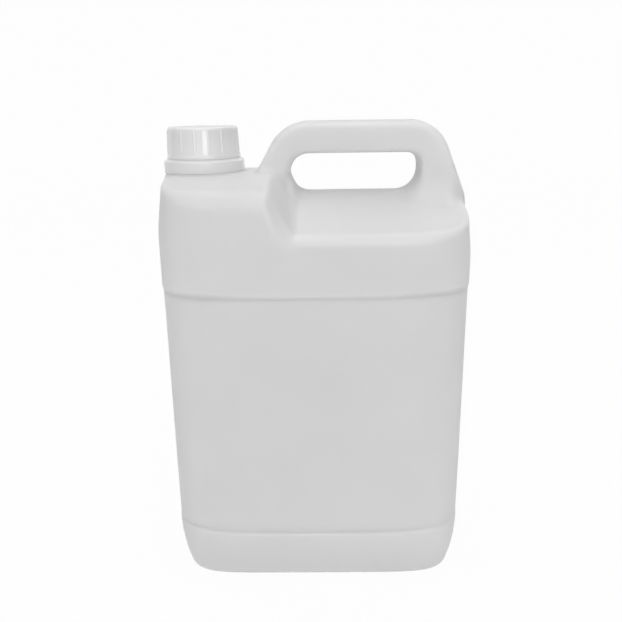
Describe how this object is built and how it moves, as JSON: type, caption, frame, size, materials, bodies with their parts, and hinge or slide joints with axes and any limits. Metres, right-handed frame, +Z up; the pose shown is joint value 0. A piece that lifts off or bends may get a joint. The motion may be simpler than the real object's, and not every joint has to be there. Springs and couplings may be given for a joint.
{
  "type": "sample bottle",
  "caption": "Blow-moulded plastic canister bottle with an integral hollow handle, a sunk label panel and a screw cap over a tamper ring, for keeping and pouring liquid samples.",
  "frame": {"origin": "centre of the bottle's footprint, on the surface it stands on", "axes": "+Z up, +X from the neck towards the handle's rear leg, +Y towards the back, so the front in the picture faces -Y"},
  "size_m": [0.188, 0.128, 0.29],
  "materials": {
    "natural_hdpe": "satin",
    "closure_plastic": "semi-gloss",
    "wad_foam": "matte"
  },
  "bodies": {
    "bottle": {"bottle": "natural_hdpe", "tamper_ring": "closure_plastic"},
    "liner": {"cap_liner": "wad_foam"},
    "cap": {"screw_cap": "closure_plastic"}
  },
  "joints": [
    {"name": "cap_rise", "type": "slide", "parent": "bottle", "child": "liner", "axis": [0, 0, 1], "range_m": [0, 0.02]},
    {"name": "cap_turn", "type": "hinge", "parent": "liner", "child": "cap", "pos_m": [-0.069, 0, 0.2855], "axis": [0, 0, 1], "range_deg": [0, 1440]}
  ],
  "couplings": [
    {"joint": "cap_rise", "follows": "cap_turn", "m_per_rad": 0.000795}
  ]
}
